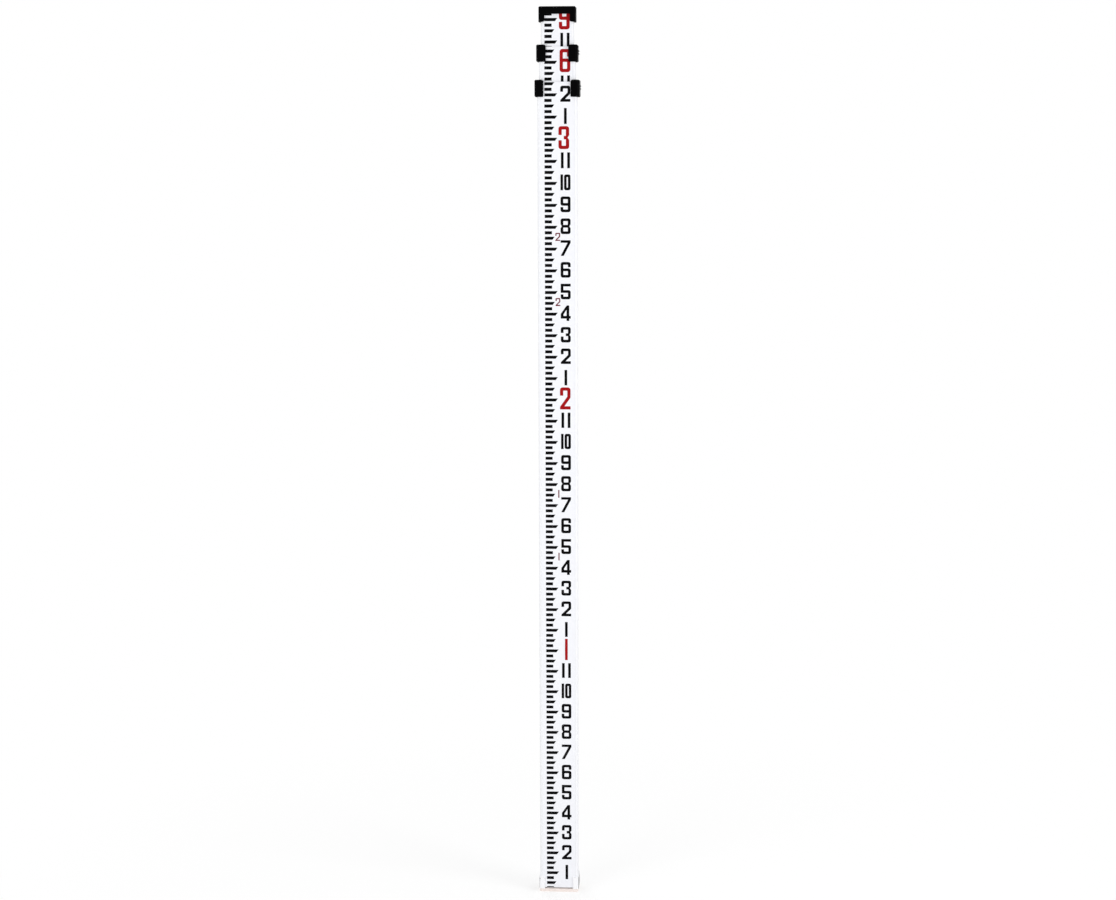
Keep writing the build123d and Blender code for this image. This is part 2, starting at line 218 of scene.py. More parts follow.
# Figures of width w, height h and stroke t, as closed outlines of corners (x, y, radius)
def bar_one(w, h, t):
    left, right = (w - t) / 2, (w + t) / 2
    return [[(left, 0, 0), (right, 0, 0), (right, h, 0), (left, h, 0)]]


def nought(w, h, t):
    outer, inner = OUTER_ROUND * t, INNER_ROUND * t
    return [
        [(0, 0, outer), (w, 0, outer), (w, h, outer), (0, h, outer)],
        [(t, t, inner), (w - t, t, inner), (w - t, h - t, inner), (t, h - t, inner)],
    ]


def two(w, h, t):
    outer, inner, soft = OUTER_ROUND * t, INNER_ROUND * t, BEND_ROUND * t
    hook = 0.625 * h
    bend = 0.58 * h
    heel = 0.12 * h
    across = w - t
    slope = (bend - heel) / across
    spread = t * math.hypot(1, slope)
    return [[
        (0, 0, inner), (w, 0, inner), (w, t, inner), ((t - heel + spread) / slope, t, 0),
        (w, heel + slope * w - spread, soft), (w, h, outer), (0, h, outer), (0, hook, inner),
        (t, hook, inner), (t, h - t, inner), (across, h - t, inner), (across, bend, soft),
        (0, heel, inner),
    ]]


def three(w, h, t):
    outer, inner = OUTER_ROUND * t, INNER_ROUND * t
    hook = 0.385 * h
    tongue = 0.5 * w
    middle = h / 2
    lobe = WAIST_RISE * t
    waist = w - WAIST_DEPTH * t
    low, high = middle - t / 2, middle + t / 2
    return [[
        (0, 0, outer), (w, 0, outer), (w, middle - lobe, inner), (waist, middle, 0),
        (w, middle + lobe, inner), (w, h, outer), (0, h, outer), (0, h - hook, inner),
        (t, h - hook, inner), (t, h - t, inner), (w - t, h - t, inner), (w - t, high, inner),
        (tongue, high, 0), (tongue, low, 0), (w - t, low, inner), (w - t, t, inner), (t, t, inner),
        (t, hook, inner), (0, hook, inner),
    ]]


def four(w, h, t):
    inner, soft = INNER_ROUND * t, ELBOW_ROUND * t
    stem = 0.58 * w
    peak = 0.6 * w
    elbow = 0.46 * h
    window_peak = 0.72 * h
    window_elbow = 0.415 * h
    low = 0.15 * h
    high = low + t
    outline = [
        (stem, 0, inner), (stem + t, 0, inner), (stem + t, low, 0), (w, low, inner), (w, high, inner),
        (stem + t, high, 0), (stem + t, h, inner), (peak, h, inner), (0, elbow, soft), (0, low, inner),
        (stem, low, 0),
    ]
    window = [(t, high, 0), (stem, high, 0), (stem, window_peak, 0), (t, window_elbow, 0)]
    return [outline, window]


def five(w, h, t):
    outer, inner = OUTER_ROUND * t, INNER_ROUND * t
    hook = 0.32 * h
    middle = 0.59 * h
    return [[
        (0, h, 0), (0, middle - t, 0), (w - t, middle - t, inner), (w - t, t, inner), (t, t, inner),
        (t, hook, inner), (0, hook, inner), (0, 0, outer), (w, 0, outer), (w, middle, outer),
        (t, middle, 0), (t, h - t, 0), (w, h - t, 0), (w, h, 0),
    ]]


def six(w, h, t):
    outer, inner = OUTER_ROUND * t, INNER_ROUND * t
    hook = 0.67 * h
    middle = 0.59 * h
    outline = [
        (0, 0, outer), (w, 0, outer), (w, middle, outer), (t, middle, 0), (t, h - t, inner),
        (w - t, h - t, inner), (w - t, hook, inner), (w, hook, inner), (w, h, outer), (0, h, outer),
    ]
    loop = [(t, t, inner), (w - t, t, inner), (w - t, middle - t, inner), (t, middle - t, inner)]
    return [outline, loop]


def seven(w, h, t):
    inner = INNER_ROUND * t
    foot = t * math.hypot(1, w / h)
    lean = (w - foot) / (h - t)
    return [[
        (0, 0, inner), (foot, 0, inner), (w, h - t, inner), (w, h, inner), (0, h, inner),
        (0, h - t, inner), (lean * (h - t), h - t, 0),
    ]]


def eight(w, h, t):
    outer, inner = OUTER_ROUND * t, INNER_ROUND * t
    middle = h / 2
    lobe = WAIST_RISE * t
    waist = WAIST_DEPTH * t
    outline = [
        (0, 0, outer), (w, 0, outer), (w, middle - lobe, inner), (w - waist, middle, 0),
        (w, middle + lobe, inner), (w, h, outer), (0, h, outer), (0, middle + lobe, inner),
        (waist, middle, 0), (0, middle - lobe, inner),
    ]
    loops = [
        [(t, low, inner), (w - t, low, inner), (w - t, high, inner), (t, high, inner)]
        for low, high in ((t, middle - t / 2), (middle + t / 2, h - t))
    ]
    return [outline, *loops]


def nine(w, h, t):
    return [[(w - x, h - y, radius) for x, y, radius in outline] for outline in six(w, h, t)]


FIGURES = {1: bar_one, 2: two, 3: three, 4: four, 5: five, 6: six, 7: seven, 8: eight, 9: nine}


def rounded(corners):
    """Points of a closed outline whose corners (x, y, radius) are rounded by arcs."""
    points = []
    for index, (x, y, radius) in enumerate(corners):
        here = Vector((x, y))
        if radius <= 0:
            points.append(here)
            continue
        back = (Vector(corners[index - 1][:2]) - here).normalized()
        ahead = (Vector(corners[(index + 1) % len(corners)][:2]) - here).normalized()
        half_turn = back.angle(ahead) / 2
        reach = radius / math.tan(half_turn)
        centre = here + (back + ahead).normalized() * radius / math.sin(half_turn)
        start = here + back * reach - centre
        sweep = (here + ahead * reach - centre).angle_signed(start)
        for step in range(ARC_STEPS + 1):
            turn = Matrix.Rotation(sweep * step / ARC_STEPS, 2)
            points.append(centre + turn @ start)
    return points


def placed(outlines, x, z):
    """The outlines of one shape, rounded and moved so that their origin lies at (x, z)."""
    return [[point + Vector((x, z)) for point in rounded(outline)] for outline in outlines]


def figure(value, centre, z, width, height, stroke):
    """Shapes of a scale figure centred on (centre, z). Ten and eleven have two strokes side by side."""
    left = centre - width / 2
    if value == 10:
        parts = [(bar_one, stroke, left), (nought, TEN_NOUGHT_WIDTH, left + width - TEN_NOUGHT_WIDTH)]
    elif value == 11:
        parts = [(bar_one, stroke, centre + side * ELEVEN_SPACING / 2 - stroke / 2) for side in (-1, 1)]
    else:
        parts = [(FIGURES[value], width, left)]
    return [placed(shape(size, height, stroke), x, z - height / 2) for shape, size, x in parts]


def bar(quarter, z):
    """Shape of one graduation, for the reading at height z."""
    if quarter % BARS_PER_INCH == 0:
        length, slant = INCH_BAR, BAR_SLANT
    elif quarter % BARS_PER_HALF_INCH == 0:
        length, slant = HALF_INCH_BAR, BAR_SLANT
    else:
        length, slant = SHORT_BAR, 0
    outline = [(0, 0, 0), (length - slant, 0, 0), (length, BAR_HEIGHT, 0), (0, BAR_HEIGHT, 0)]
    return placed([outline], BAR_LEFT, z - BAR_DROP - BAR_HEIGHT / 2)


def scale_shapes(first, last, drop):
    """Shapes of the bars and inches, of the feet and of the small foot repeaters between the inches.

    They run from the first reading to the last, in inches, and are printed this many inches lower.
    """
    black, red, repeaters = [], [], []
    for quarter in range(math.ceil(first * BARS_PER_INCH), math.floor(last * BARS_PER_INCH) + 1):
        reading = quarter / BARS_PER_INCH
        z = (reading - drop) * INCH
        feet, inches = divmod(reading, FOOT_INCHES)
        if reading > 0:
            black.append(bar(quarter, z))
        if inches == 0 and feet > 0:
            centre = SHIFTED_FOOT_CENTRES.get(int(feet), FOOT_FIGURE_CENTRE)
            stroke = THIN_FOOT_STROKES.get(int(feet), FOOT_FIGURE_STROKE)
            red += figure(
                int(feet), centre, z + FOOT_FIGURE_RISE, FOOT_FIGURE_WIDTH, FOOT_FIGURE_HEIGHT, stroke
            )
        elif inches in REPEATER_INCHES and feet > 0:
            centre = SHIFTED_REPEATER_CENTRES.get(int(feet), REPEATER_CENTRE)
            repeaters += figure(int(feet), centre, z, REPEATER_WIDTH, REPEATER_HEIGHT, REPEATER_STROKE)
        elif inches == int(inches) and inches > 0:
            centre = SHIFTED_INCH_CENTRES.get((int(feet), int(inches)), INCH_FIGURE_CENTRE)
            stroke = THIN_INCH_STROKES.get(int(inches), INCH_FIGURE_STROKE)
            black += figure(
                int(inches), centre, z - INCH_FIGURE_DROP, INCH_FIGURE_WIDTH, INCH_FIGURE_HEIGHT, stroke
            )
    return black, red, repeaters


def ink_object(name, shapes, surface, low, high):
    """Thin closed prisms of ink on the film's front, trimmed to the film's ends."""
    vertices, faces = [], []
    for outlines in shapes:
        start = len(vertices)
        flat = [point for outline in outlines for point in outline]
        count = len(flat)
        vertices += [(x, surface - INK_THICKNESS, z) for x, z in flat]
        vertices += [(x, surface, z) for x, z in flat]
        triangles = tessellate_polygon([[point.to_3d() for point in outline] for outline in outlines])
        faces += [[start + i for i in triangle] for triangle in triangles]
        faces += [[start + count + i for i in reversed(triangle)] for triangle in triangles]
        first = start
        for outline in outlines:
            size = len(outline)
            for i in range(size):
                a, b = first + i, first + (i + 1) % size
                faces.append([a, b, b + count, a + count])
            first += size
    mesh = bpy.data.meshes.new(name)
    mesh.from_pydata(vertices, [], faces)
    layer = bmesh.new()
    layer.from_mesh(mesh)
    for height, direction in ((low, -1), (high, 1)):
        cut = bmesh.ops.bisect_plane(
            layer,
            geom=layer.verts[:] + layer.edges[:] + layer.faces[:],
            plane_co=(0, 0, height),
            plane_no=(0, 0, direction),
            clear_outer=True,
        )
        rim = [item for item in cut["geom_cut"] if isinstance(item, bmesh.types.BMEdge)]
        bmesh.ops.edgeloop_fill(layer, edges=rim)
    bmesh.ops.recalc_face_normals(layer, faces=layer.faces[:])
    layer.to_mesh(mesh)
    layer.free()
    return linked(name, mesh)


def turned(profile):
    """A solid turned about the Z axis from points (radius, height), from its lowest to its highest."""
    vertices, rings = [], []
    for radius, height in profile:
        count = TURN_STEPS if radius > ON_AXIS else 1
        start = len(vertices)
        rings.append([start + step % count for step in range(TURN_STEPS)])
        angles = [2 * math.pi * step / TURN_STEPS for step in range(count)]
        vertices += [(radius * math.cos(a), radius * math.sin(a), height) for a in angles]
    faces = []
    for lower, upper in zip(rings, rings[1:]):
        for here in range(TURN_STEPS):
            ahead = (here + 1) % TURN_STEPS
            corners = (lower[here], lower[ahead], upper[ahead], upper[here])
            faces.append(list(dict.fromkeys(corners)))
    mesh = bpy.data.meshes.new("turned")
    mesh.from_pydata(vertices, [], faces)
    return mesh


def dome(radius, low, end_radius, high):
    """Points of a quarter ellipse from (radius, low) in to (end_radius, high)."""
    angles = [math.pi / 2 * step / DOME_STEPS for step in range(DOME_STEPS + 1)]
    reach, rise = radius - end_radius, high - low
    return [(end_radius + reach * math.cos(a), low + rise * math.sin(a)) for a in angles]


def cross_recess(screw, face):
    """The screw with a tapered cross sunk in its head, whose face lies at this height."""
    arm, half = RECESS_SPAN / 2, RECESS_WIDTH / 2
    quarter = [Vector((arm, -half)), Vector((arm, half)), Vector((half, half))]
    outline = [Matrix.Rotation(turn * math.pi / 2, 2) @ corner for turn in range(4) for corner in quarter]
    count = len(outline)
    vertices = [(x, y, face + RECESS_DEPTH) for x, y in outline]
    vertices += [(x * RECESS_TAPER, y * RECESS_TAPER, face - RECESS_DEPTH) for x, y in outline]
    faces = [list(range(count)), list(reversed(range(count, 2 * count)))]
    faces += [[i + count, (i + 1) % count + count, (i + 1) % count, i] for i in range(count)]
    cutter = bpy.data.meshes.new("cutter")
    cutter.from_pydata(vertices, [], faces)
    blank, tool = linked("blank", screw), linked("tool", cutter)
    sink = blank.modifiers.new("sink", "BOOLEAN")
    sink.object = tool
    sink.solver = "EXACT"
    done = bpy.data.meshes.new_from_object(blank.evaluated_get(bpy.context.evaluated_depsgraph_get()))
    for leftover in (blank, tool):
        bpy.data.objects.remove(leftover)
    return done


def blind_rivet(head_radius, grip):
    """Domed rivet with the broken end of its mandrel down in the middle. Its head starts at height 0."""
    throat = MANDREL_HOLE - RIVET_BREAK
    profile = [(0, -grip), (RIVET_SHANK, -grip), (RIVET_SHANK, 0), (head_radius, 0)]
    profile += dome(head_radius, RIVET_RIM, MANDREL_HOLE, RIVET_HEAD)
    profile += [(throat, RIVET_HEAD - RIVET_BREAK), (throat, MANDREL_LOW)]
    profile += dome(MANDREL, MANDREL_LOW, 0, MANDREL_HIGH)
    return turned(profile)


def pan_screw(head_radius, length):
    """Cross-recess pan screw with a pointed end. Its head starts at height 0."""
    profile = [(0, -length), (SCREW_SHANK, SCREW_POINT - length), (SCREW_SHANK, 0), (head_radius, 0)]
    profile += dome(head_radius, PAN_RIM, 0, PAN_HEAD)
    return cross_recess(turned(profile), PAN_HEAD)


def sunk_screw(head_radius, length):
    """Cross-recess countersunk screw, its face at height 0."""
    taper = head_radius - SCREW_SHANK
    profile = [(0, -length), (SCREW_SHANK - SUNK_RIM, -length), (SCREW_SHANK, SUNK_RIM - length)]
    profile += [(SCREW_SHANK, -taper), (head_radius, -SUNK_RIM), (head_radius, 0), (0, 0)]
    return cross_recess(turned(profile), 0)


def fasteners(name, node, body, make, head, facing):
    """A piece of two detailed fasteners that stands for a node's plain ones, facing back or down."""
    low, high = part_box(node)
    centre = (low + high) / 2
    if facing == "back":
        radius = (high.z - low.z) / 2
        seat = high.y - head
        length = seat - low.y
        turn = Matrix.Rotation(-math.pi / 2, 4, "X")
        places = [Vector((x, seat, centre.z)) for x in (low.x + radius, high.x - radius)]
    else:
        radius = (high.y - low.y) / 2
        length = high.z - low.z - head
        turn = Matrix.Rotation(math.pi, 4, "X")
        places = [Vector((x, centre.y, low.z + head)) for x in (low.x + radius, high.x - radius)]
    pattern = make(radius, length)
    group = bmesh.new()
    for place in places:
        copy = pattern.copy()
        copy.transform(Matrix.Translation(place) @ turn)
        group.from_mesh(copy)
    mesh = bpy.data.meshes.new(name)
    group.to_mesh(mesh)
    group.free()
    mesh.shade_smooth()
    mesh.set_sharp_from_angle(angle=SHARP_ANGLE)
    mesh.materials.append(finishes["bright_steel"])
    piece = linked(name, mesh)
    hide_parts(node)
    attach(piece, body)


class Finish:
    """A material's node graph, with short names for the nodes that the finishes share."""

    def __init__(self, name):
        self.material = bpy.data.materials.new(name)
        self.material.use_nodes = True
        self.tree = self.material.node_tree
        self.shader = self.tree.nodes["Principled BSDF"]

    def feed(self, node, socket, value):
        """Set an input to a constant, or link it to another node's output."""
        if isinstance(value, bpy.types.NodeSocket):
            self.tree.links.new(value, node.inputs[socket])
        else:
            node.inputs[socket].default_value = value

    def node(self, kind, inputs, **settings):
        """A new node of this kind, with its settings and inputs."""
        made = self.tree.nodes.new(kind)
        for name, value in settings.items():
            setattr(made, name, value)
        for socket, value in inputs.items():
            self.feed(made, socket, value)
        return made

    def surface(self, **inputs):
        """Feed the shader's own sockets."""
        for name, value in inputs.items():
            self.feed(self.shader, name.replace("_", " "), value)

    def noise(self, size, detail=2.0, stretch=(1, 1, 1)):
        """Cloudy pattern, from 0 to 1, whose lumps are about this size, times the stretch along each axis."""
        place = self.node("ShaderNodeTexCoord", {}).outputs["Object"]
        scale = tuple(1 / s for s in stretch)
        moved = self.node("ShaderNodeMapping", {"Vector": place, "Scale": scale}).outputs[0]
        lumps = {"Vector": moved, "Scale": 1 / size, "Detail": detail, "Roughness": CLOUD_ROUGHNESS}
        return self.node("ShaderNodeTexNoise", lumps).outputs[0]

    def remap(self, value, low, high, new_low=0.0, new_high=1.0):
        """The value carried from one range to another, and held at its ends."""
        ends = {"Value": value, "From Min": low, "From Max": high, "To Min": new_low, "To Max": new_high}
        return self.node("ShaderNodeMapRange", ends).outputs[0]

    def spread(self, pattern, new_low=0.0, new_high=1.0):
        """A cloudy pattern's usual range carried to another."""
        return self.remap(pattern, CLOUD_LOW, CLOUD_HIGH, new_low, new_high)

    def mix(self, factor, first, second):
        """Colour that goes from the first to the second as the factor goes from 0 to 1."""
        made = self.node("ShaderNodeMix", {0: factor}, data_type="RGBA")
        self.feed(made, 6, first)
        self.feed(made, 7, second)
        return made.outputs[2]

    def maths(self, operation, first, second=0.0):
        return self.node("ShaderNodeMath", {0: first, 1: second}, operation=operation).outputs[0]

    def times(self, first, second):
        return self.maths("MULTIPLY", first, second)

    def larger(self, first, second):
        return self.maths("MAXIMUM", first, second)

    def off(self, value, middle):
        """How far the value lies from the middle, either way."""
        return self.maths("ABSOLUTE", self.maths("SUBTRACT", value, middle))

    def soft_edges(self, radius):
        """Normal that rounds the edges by this radius."""
        return self.node("ShaderNodeBevel", {"Radius": radius}, samples=BEVEL_SAMPLES).outputs[0]

    def edge_mask(self, radius):
        """1 along the edges of the piece and 0 on its flats."""
        sharp = self.node("ShaderNodeNewGeometry", {}).outputs["Normal"]
        pair = {0: self.soft_edges(radius), 1: sharp}
        agree = self.node("ShaderNodeVectorMath", pair, operation="DOT_PRODUCT").outputs["Value"]
        return self.remap(agree, EDGE_FROM, EDGE_FULL)

    def bump(self, height, distance, normal, strength):
        """The normal, roughened by a pattern of heights."""
        inputs = {"Strength": strength, "Distance": distance, "Height": height, "Normal": normal}
        return self.node("ShaderNodeBump", inputs).outputs[0]

    def place(self, axis):
        """Place along this axis within the piece's own box, from 0 to 1."""
        spot = self.node("ShaderNodeTexCoord", {}).outputs["Generated"]
        return self.node("ShaderNodeSeparateXYZ", {0: spot}).outputs[axis]

    def facing(self, axis):
        """1 on faces that look along this axis, either way, and 0 on the others."""
        local = self.node("ShaderNodeTexCoord", {}).outputs["Normal"]
        part = self.node("ShaderNodeSeparateXYZ", {0: local}).outputs[axis]
        return self.remap(self.maths("ABSOLUTE", part), FACING_FROM, FACING_FULL)


def coated_aluminium():
    """White baked coat over the drawn tube, rubbed along the length, with bare sawn ends."""
    f = Finish("coated_aluminium")
    drift = f.spread(f.noise(70 * MM))
    rubbed = f.remap(f.noise(0.9 * MM, 3, (1, 1, 60)), 0.62, 0.8, 0, 0.35)
    white = f.mix(drift, COAT_DULL, COAT_CLEAR)
    white = f.mix(rubbed, white, COAT_RUBBED)
    worn = f.times(f.edge_mask(0.5 * MM), f.remap(f.noise(3 * MM, 5), 0.56, 0.7))
    bare = f.larger(worn, f.facing(Z))
    f.surface(
        Base_Color=f.mix(bare, white, BARE_ALUMINIUM),
        Metallic=bare,
        Roughness=f.spread(f.noise(14 * MM, 4), 0.34, 0.46),
        Normal=f.bump(f.noise(1.1 * MM), 0.015 * MM, f.soft_edges(0.3 * MM), 0.5),
    )
    return f.material


def printed_film():
    """White satin film under the print, greyed along its two long edges."""
    f = Finish("printed_film")
    # Greyed along the two long edges, where the film meets the rails
    seam = f.remap(f.off(f.place(X), PIECE_MIDDLE), 0.488, 0.5)
    seam = f.times(seam, f.remap(f.noise(5 * MM, 4, (1, 1, 3)), 0.2, 0.7, 0.5, 1))
    white = f.mix(f.noise(40 * MM), FILM_DULL, FILM_CLEAR)
    white = f.mix(f.remap(f.noise(0.35 * MM), 0.35, 0.75), white, FILM_FLECKS)
    f.surface(
        Base_Color=f.mix(seam, white, FILM_EDGE_GREY),
        Roughness=f.spread(f.noise(9 * MM, 5), 0.3, 0.42),
        Normal=f.bump(f.noise(0.6 * MM), 0.006 * MM, f.soft_edges(0.05 * MM), 0.4),
    )
    return f.material


def ink(name, full, thin):
    """Screen ink that lies a little thinner in places."""
    f = Finish(name)
    thinness = f.remap(f.noise(0.8 * MM, 4), 0.5, 0.8)
    f.surface(
        Base_Color=f.mix(thinness, full, thin),
        Roughness=f.spread(f.noise(4 * MM, 3), 0.42, 0.55),
        Specular_IOR_Level=INK_GLOSS,
        Normal=f.bump(f.noise(0.3 * MM), 0.005 * MM, f.soft_edges(0.03 * MM), 0.4),
    )
    return f.material


def black_moulding(name, dark, pale, grain, roughness, gloss):
    """Black moulded plastic with a spark-eroded grain and edges rubbed a little paler."""
    f = Finish(name)
    rubbed = f.times(f.edge_mask(0.45 * MM), f.remap(f.noise(2.5 * MM, 4), 0.35, 0.75))
    mottle = f.mix(f.noise(1.6 * MM, 4), dark, pale)
    f.surface(
        Base_Color=f.mix(rubbed, mottle, RUBBED_BLACK),
        Roughness=f.spread(f.noise(5 * MM, 4), roughness - 0.06, roughness + 0.08),
        Specular_IOR_Level=gloss,
        Normal=f.bump(f.noise(0.28 * MM, 3), grain, f.soft_edges(0.35 * MM), 0.6),
    )
    return f.material


def cast_shoe():
    """White-coated die-cast shoe with worn edges and a ragged dark patch near the top front corner of its left
    side. Its outer sides are bare brushed metal, coloured with painted shade at the front that turns to a painted
    sheen at the back, and painted shade lies low on its floor just behind the front.
    """
    f = Finish("cast_shoe")
    skin = f.mix(f.noise(6 * MM, 4), SHOE_DULL, SHOE_CLEAR)
    edges = f.times(f.edge_mask(0.6 * MM), f.remap(f.noise(4 * MM, 4), 0.44, 0.6))
    skin = f.mix(edges, skin, SHOE_WORN)
    off_middle = f.off(f.place(X), PIECE_MIDDLE)
    outer = f.times(f.facing(X), f.remap(off_middle, 0.47, 0.49))
    brushed = f.spread(f.noise(0.25 * MM, 3, (1, 24, 1)), -0.1, 0.1)
    # Painted shade at the front of the bare outer sides, brightening to a painted sheen towards their back,
    # streaked by the brushing
    painted_shade_to_sheen = f.remap(f.maths("ADD", f.place(Y), brushed), 0.02, 0.85)
    # A ragged dark patch near the top front corner of the left side
    off_dark_patch = f.off(f.place(Z), DARK_PATCH_HEIGHT)
    dark_patch = f.times(f.remap(f.place(X), 0.05, 0.02), f.remap(off_dark_patch, 0.18, 0.06))
    dark_patch = f.times(dark_patch, f.remap(f.place(Y), 0.16, 0.1))
    ragged = f.remap(f.noise(0.9 * MM, 4), 0.42, 0.58, 0.1, 0.7)
    dark_patch = f.times(dark_patch, ragged)
    # Painted shade on the shoe's floor, low down just behind its front face, where the recess under the tube lies
    # in shadow
    recess_painted_shade = f.times(f.remap(f.place(Z), 0.1, 0.13, 0.3, 0), f.remap(f.place(Y), 0.09, 0.12))
    # Where the bare metal colour goes: the outer sides with their painted shade and sheen, the dark patch, and the
    # painted shade in the recess
    painted_shade_and_bare_metal = f.larger(recess_painted_shade, f.larger(outer, dark_patch))
    # Bare metal colour that carries the painted shade and the painted sheen
    bare = f.mix(painted_shade_to_sheen, SHOE_PAINTED_SHADE_METAL, SHOE_PAINTED_SHEEN_METAL)
    f.surface(
        Base_Color=f.mix(painted_shade_and_bare_metal, skin, bare),
        Metallic=f.remap(painted_shade_and_bare_metal, 0, 1, 0.0, SHOE_METALLIC),
        Roughness=f.spread(f.noise(3 * MM, 4), 0.38, 0.55),
        Normal=f.bump(f.noise(0.35 * MM, 3), 0.02 * MM, f.soft_edges(0.3 * MM), 0.5),
    )
    return f.material


def metal(name, bright, dull, roughness, grain_size, grain_stretch):
    """Bare metal with fine drawn or turned lines and a duller tone in patches."""
    f = Finish(name)
    lines = f.noise(grain_size, 4, grain_stretch)
    f.surface(
        Base_Color=f.mix(f.remap(f.noise(2.2 * MM, 5), 0.35, 0.7), bright, dull),
        Metallic=1.0,
        Roughness=f.spread(lines, roughness - 0.06, roughness + 0.1),
        Normal=f.bump(lines, 0.004 * MM, f.soft_edges(0.2 * MM), 0.5),
    )
    return f.material


def moulded(name, first, second, roughness, scatter=0.0):
    """Nylon or rubber: a soft mottled moulding."""
    f = Finish(name)
    f.surface(
        Base_Color=f.mix(f.noise(3 * MM, 4), first, second),
        Roughness=f.spread(f.noise(2 * MM, 4), roughness - 0.07, roughness + 0.07),
        Subsurface_Weight=scatter,
        Subsurface_Scale=0.8 * MM,
        Normal=f.bump(f.noise(0.5 * MM, 3), 0.02 * MM, f.soft_edges(0.3 * MM), 0.5),
    )
    return f.material


def seen_directly(tree):
    """1 for rays from the camera and for what shows in gloss or glass, and 0 for the light that falls."""
    path = tree.nodes.new("ShaderNodeLightPath")
    total = path.outputs["Is Camera Ray"]
    for name in ("Is Glossy Ray", "Is Transmission Ray"):
        add = tree.nodes.new("ShaderNodeMath")
        add.operation = "MAXIMUM"
        tree.links.new(total, add.inputs[0])
        tree.links.new(path.outputs[name], add.inputs[1])
        total = add.outputs[0]
    return total


def set_world():
    """White surroundings that light the object less brightly than they show."""
    world = bpy.data.worlds.new("studio")
    bpy.context.scene.world = world
    world.use_nodes = True
    tree = world.node_tree
    strength = tree.nodes.new("ShaderNodeMapRange")
    strength.inputs["To Min"].default_value = WORLD_LIGHT
    strength.inputs["To Max"].default_value = WORLD_SEEN
    tree.links.new(seen_directly(tree), strength.inputs["Value"])
    background = tree.nodes["Background"]
    background.inputs["Color"].default_value = WHITE
    tree.links.new(strength.outputs[0], background.inputs["Strength"])


def make_floor():
    """Pale floor that shows white, with the object's shadow near its foot."""
    half = FLOOR_SIZE / 2
    mesh = bpy.data.meshes.new("floor")
    corners = [(-half, -half), (half, -half), (half, half), (-half, half)]
    mesh.from_pydata([(x, y, -FLOOR_GAP) for x, y in corners], [], [(0, 1, 2, 3)])
    floor = linked("floor", mesh)
    f = Finish("floor")
    seen = seen_directly(f.tree)
    glow = f.times(seen, FLOOR_GLOW)
    place = f.node("ShaderNodeTexCoord", {}).outputs["Object"]
    away = f.node("ShaderNodeVectorMath", {0: place}, operation="LENGTH").outputs["Value"]
    plain = f.times(seen, f.remap(away, SHADOW_REACH, WHITE_FROM))
    white = f.node("ShaderNodeEmission", {"Color": WHITE, "Strength": 1.0})
    pale = f.mix(f.noise(FLOOR_CLOUDS), FLOOR_DULL, FLOOR_CLEAR)
    f.surface(
        Base_Color=f.mix(seen, pale, FLOOR_SEEN),
        Roughness=FLOOR_ROUGHNESS,
        Specular_IOR_Level=0.0,
        Emission_Color=WHITE,
        Emission_Strength=glow,
    )
    blend = f.node("ShaderNodeMixShader", {0: plain, 1: f.shader.outputs[0], 2: white.outputs[0]})
    f.feed(f.tree.nodes["Material Output"], "Surface", blend.outputs[0])
    mesh.materials.append(f.material)


def add_lamp(name, place, aim, width, height, power):
    """Rectangular soft lamp that points from its place at the aim."""
    data = bpy.data.lights.new(name, "AREA")
    data.shape = "RECTANGLE"
    data.size = width
    data.size_y = height
    data.energy = power
    lamp = bpy.data.objects.new(name, data)
    lamp.location = place
    lamp.rotation_euler = (Vector(aim) - Vector(place)).to_track_quat("-Z", "Y").to_euler()
    bpy.context.scene.collection.objects.link(lamp)


def add_camera():
    """The photograph's camera."""
    forward = Vector((
        math.sin(CAMERA_PAN) * math.cos(CAMERA_PITCH),
        math.cos(CAMERA_PAN) * math.cos(CAMERA_PITCH),
        math.sin(CAMERA_PITCH),
    ))
    level = forward.cross(Vector((0, 0, 1))).normalized()
    right = Matrix.Rotation(-CAMERA_ROLL, 3, forward) @ level
    up = right.cross(forward)
    data = bpy.data.cameras.new("camera")
    data.sensor_fit = "HORIZONTAL"
    data.sensor_width = SENSOR_WIDTH
    data.lens = FOCAL_PIXELS / IMAGE_WIDTH * SENSOR_WIDTH
    camera = bpy.data.objects.new("camera", data)
    axes = Matrix((right, up, -forward)).transposed()
    camera.matrix_world = Matrix.Translation(CAMERA_PLACE) @ axes.to_4x4()
    bpy.context.scene.collection.objects.link(camera)
    bpy.context.scene.camera = camera


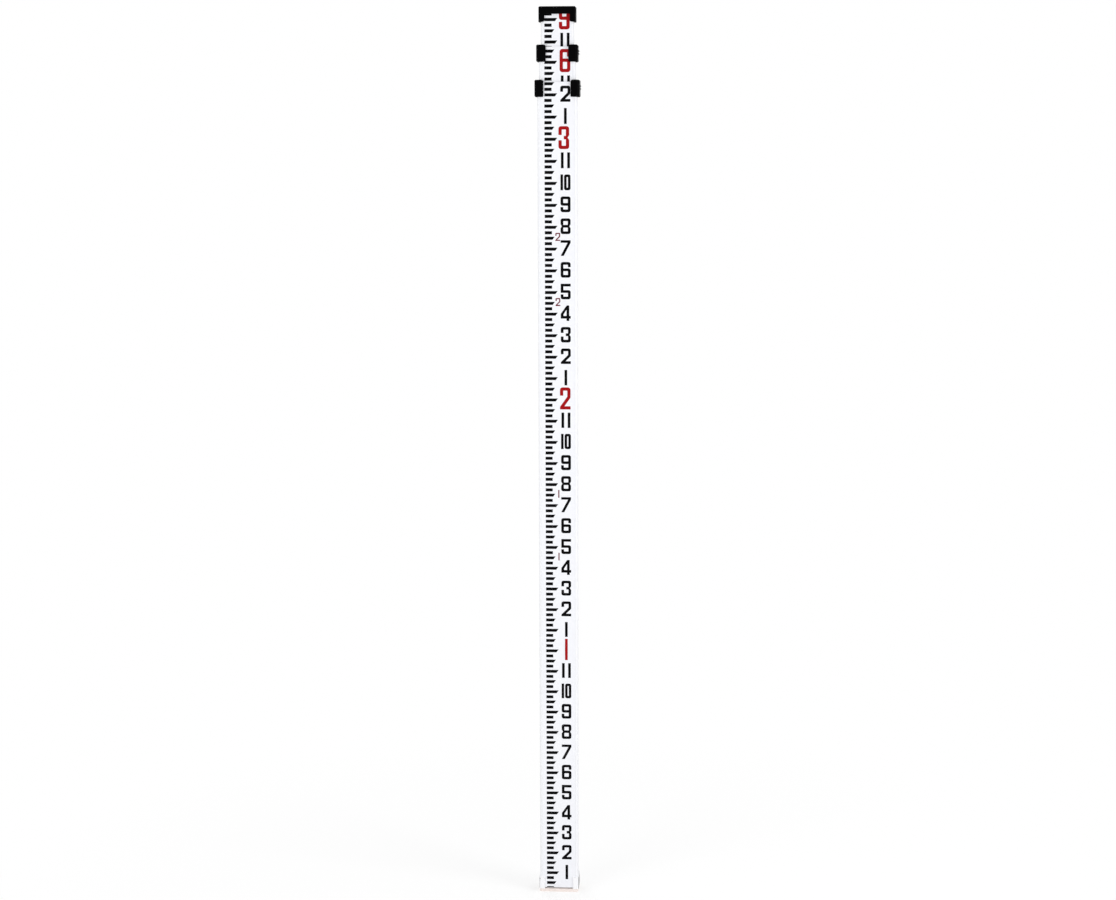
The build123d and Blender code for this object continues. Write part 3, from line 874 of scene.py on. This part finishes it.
# Finishes by material slot, put on the solids
finishes = {
    "coated_aluminium": coated_aluminium(),
    "printed_film": printed_film(),
    "cast_shoe": cast_shoe(),
    "brass_plate": metal(
        "brass_plate",
        bright=colour(0.89, 0.81, 0.775),
        dull=colour(0.83, 0.745, 0.705),
        roughness=0.4,
        grain_size=0.25 * MM,
        grain_stretch=(14, 1, 1),
    ),
    "bright_steel": metal(
        "bright_steel",
        bright=colour(0.72, 0.72, 0.73),
        dull=colour(0.6, 0.6, 0.61),
        roughness=0.3,
        grain_size=0.2 * MM,
        grain_stretch=(1, 1, 6),
    ),
    "spring_steel": metal(
        "spring_steel",
        bright=colour(0.45, 0.46, 0.49),
        dull=colour(0.36, 0.37, 0.4),
        roughness=0.32,
        grain_size=0.15 * MM,
        grain_stretch=(1, 1, 12),
    ),
    "black_moulding": black_moulding(
        "black_moulding",
        dark=colour(0.0007, 0.0007, 0.0008),
        pale=colour(0.0014, 0.0014, 0.0016),
        grain=0.03 * MM,
        roughness=0.52,
        gloss=0.02,
    ),
    "black_latch": black_moulding(
        "black_latch",
        dark=colour(0.012, 0.012, 0.013),
        pale=colour(0.016, 0.016, 0.017),
        grain=0.012 * MM,
        roughness=0.42,
        gloss=0.15,
    ),
    "natural_nylon": moulded(
        "natural_nylon",
        first=colour(0.78, 0.76, 0.69),
        second=colour(0.84, 0.82, 0.76),
        roughness=0.42,
        scatter=0.25,
    ),
    "bumper_rubber": moulded(
        "bumper_rubber",
        first=colour(0.02, 0.02, 0.02),
        second=colour(0.035, 0.034, 0.033),
        roughness=0.75,
    ),
}
for subpart in frame["record"]["subparts"]:
    node = frame["nodes"][subpart["node"]]
    node.data.materials.clear()
    node.data.materials.append(finishes[subpart["material_slot"]])

# Printed scale: what each section reads when the staff is pulled out, lowered by how far it has slid in
travel = {joint["name"]: joint["range_m"][1] for joint in frame["joints"] if joint["type"] == "slide"}
middle_drop = travel["middle_slide"] / INCH
top_drop = middle_drop + travel["top_slide"] / INCH
inks = {
    "black": ink("black_ink", colour(0.0015, 0.0015, 0.0018), colour(0.006, 0.006, 0.0065)),
    "red": ink("red_ink", colour(0.35, 0.007, 0.009), colour(0.39, 0.016, 0.018)),
    "repeaters": ink("dark_red_ink", colour(0.15, 0.006, 0.02), colour(0.18, 0.014, 0.03)),
}
print_start = 0.0
for section, drop in (("base", 0.0), ("middle", middle_drop), ("top", top_drop)):
    low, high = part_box(f"{section}_scale_strip")
    first = max(print_start, low.z / INCH + drop)
    last = high.z / INCH + drop
    for (name, finish), shapes in zip(inks.items(), scale_shapes(first, last, drop)):
        print_piece = ink_object(f"{section}_scale_{name}", shapes, low.y, low.z, high.z)
        print_piece.data.materials.append(finish)
        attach(print_piece, section)
    print_start = last - PRINT_OVERLAP

# Fasteners with their recesses, for the plain ones that show from behind and below
for section in ("base", "middle"):
    fasteners(
        f"{section}_blind_rivets", f"{section}_collar_rivets", section, blind_rivet, RIVET_HEAD, "back"
    )
fasteners("foot_pan_screws", "foot_screws", "base", pan_screw, PAN_HEAD, "back")
fasteners("cap_pan_screws", "top_cap_screws", "top", pan_screw, PAN_HEAD, "back")
fasteners("wear_plate_sunk_screws", "wear_plate_screws", "base", sunk_screw, SUNK_HEAD, "down")

# Leaf springs: a copy of each plain spring, in its place, shown instead of it
for section in ("base", "middle"):
    plain_spring = frame["nodes"][f"{section}_latch_spring"]
    low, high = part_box(f"{section}_latch_spring")
    spring = linked(f"{section}_leaf_spring", plain_spring.data.copy())
    spring.matrix_world = plain_spring.matrix_world
    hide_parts(f"{section}_latch_spring")
    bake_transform(spring)

# Studio and camera
bpy.context.scene.view_settings.view_transform = "Standard"
set_world()
make_floor()
for lamp in LAMPS:
    add_lamp(**lamp)
add_camera()
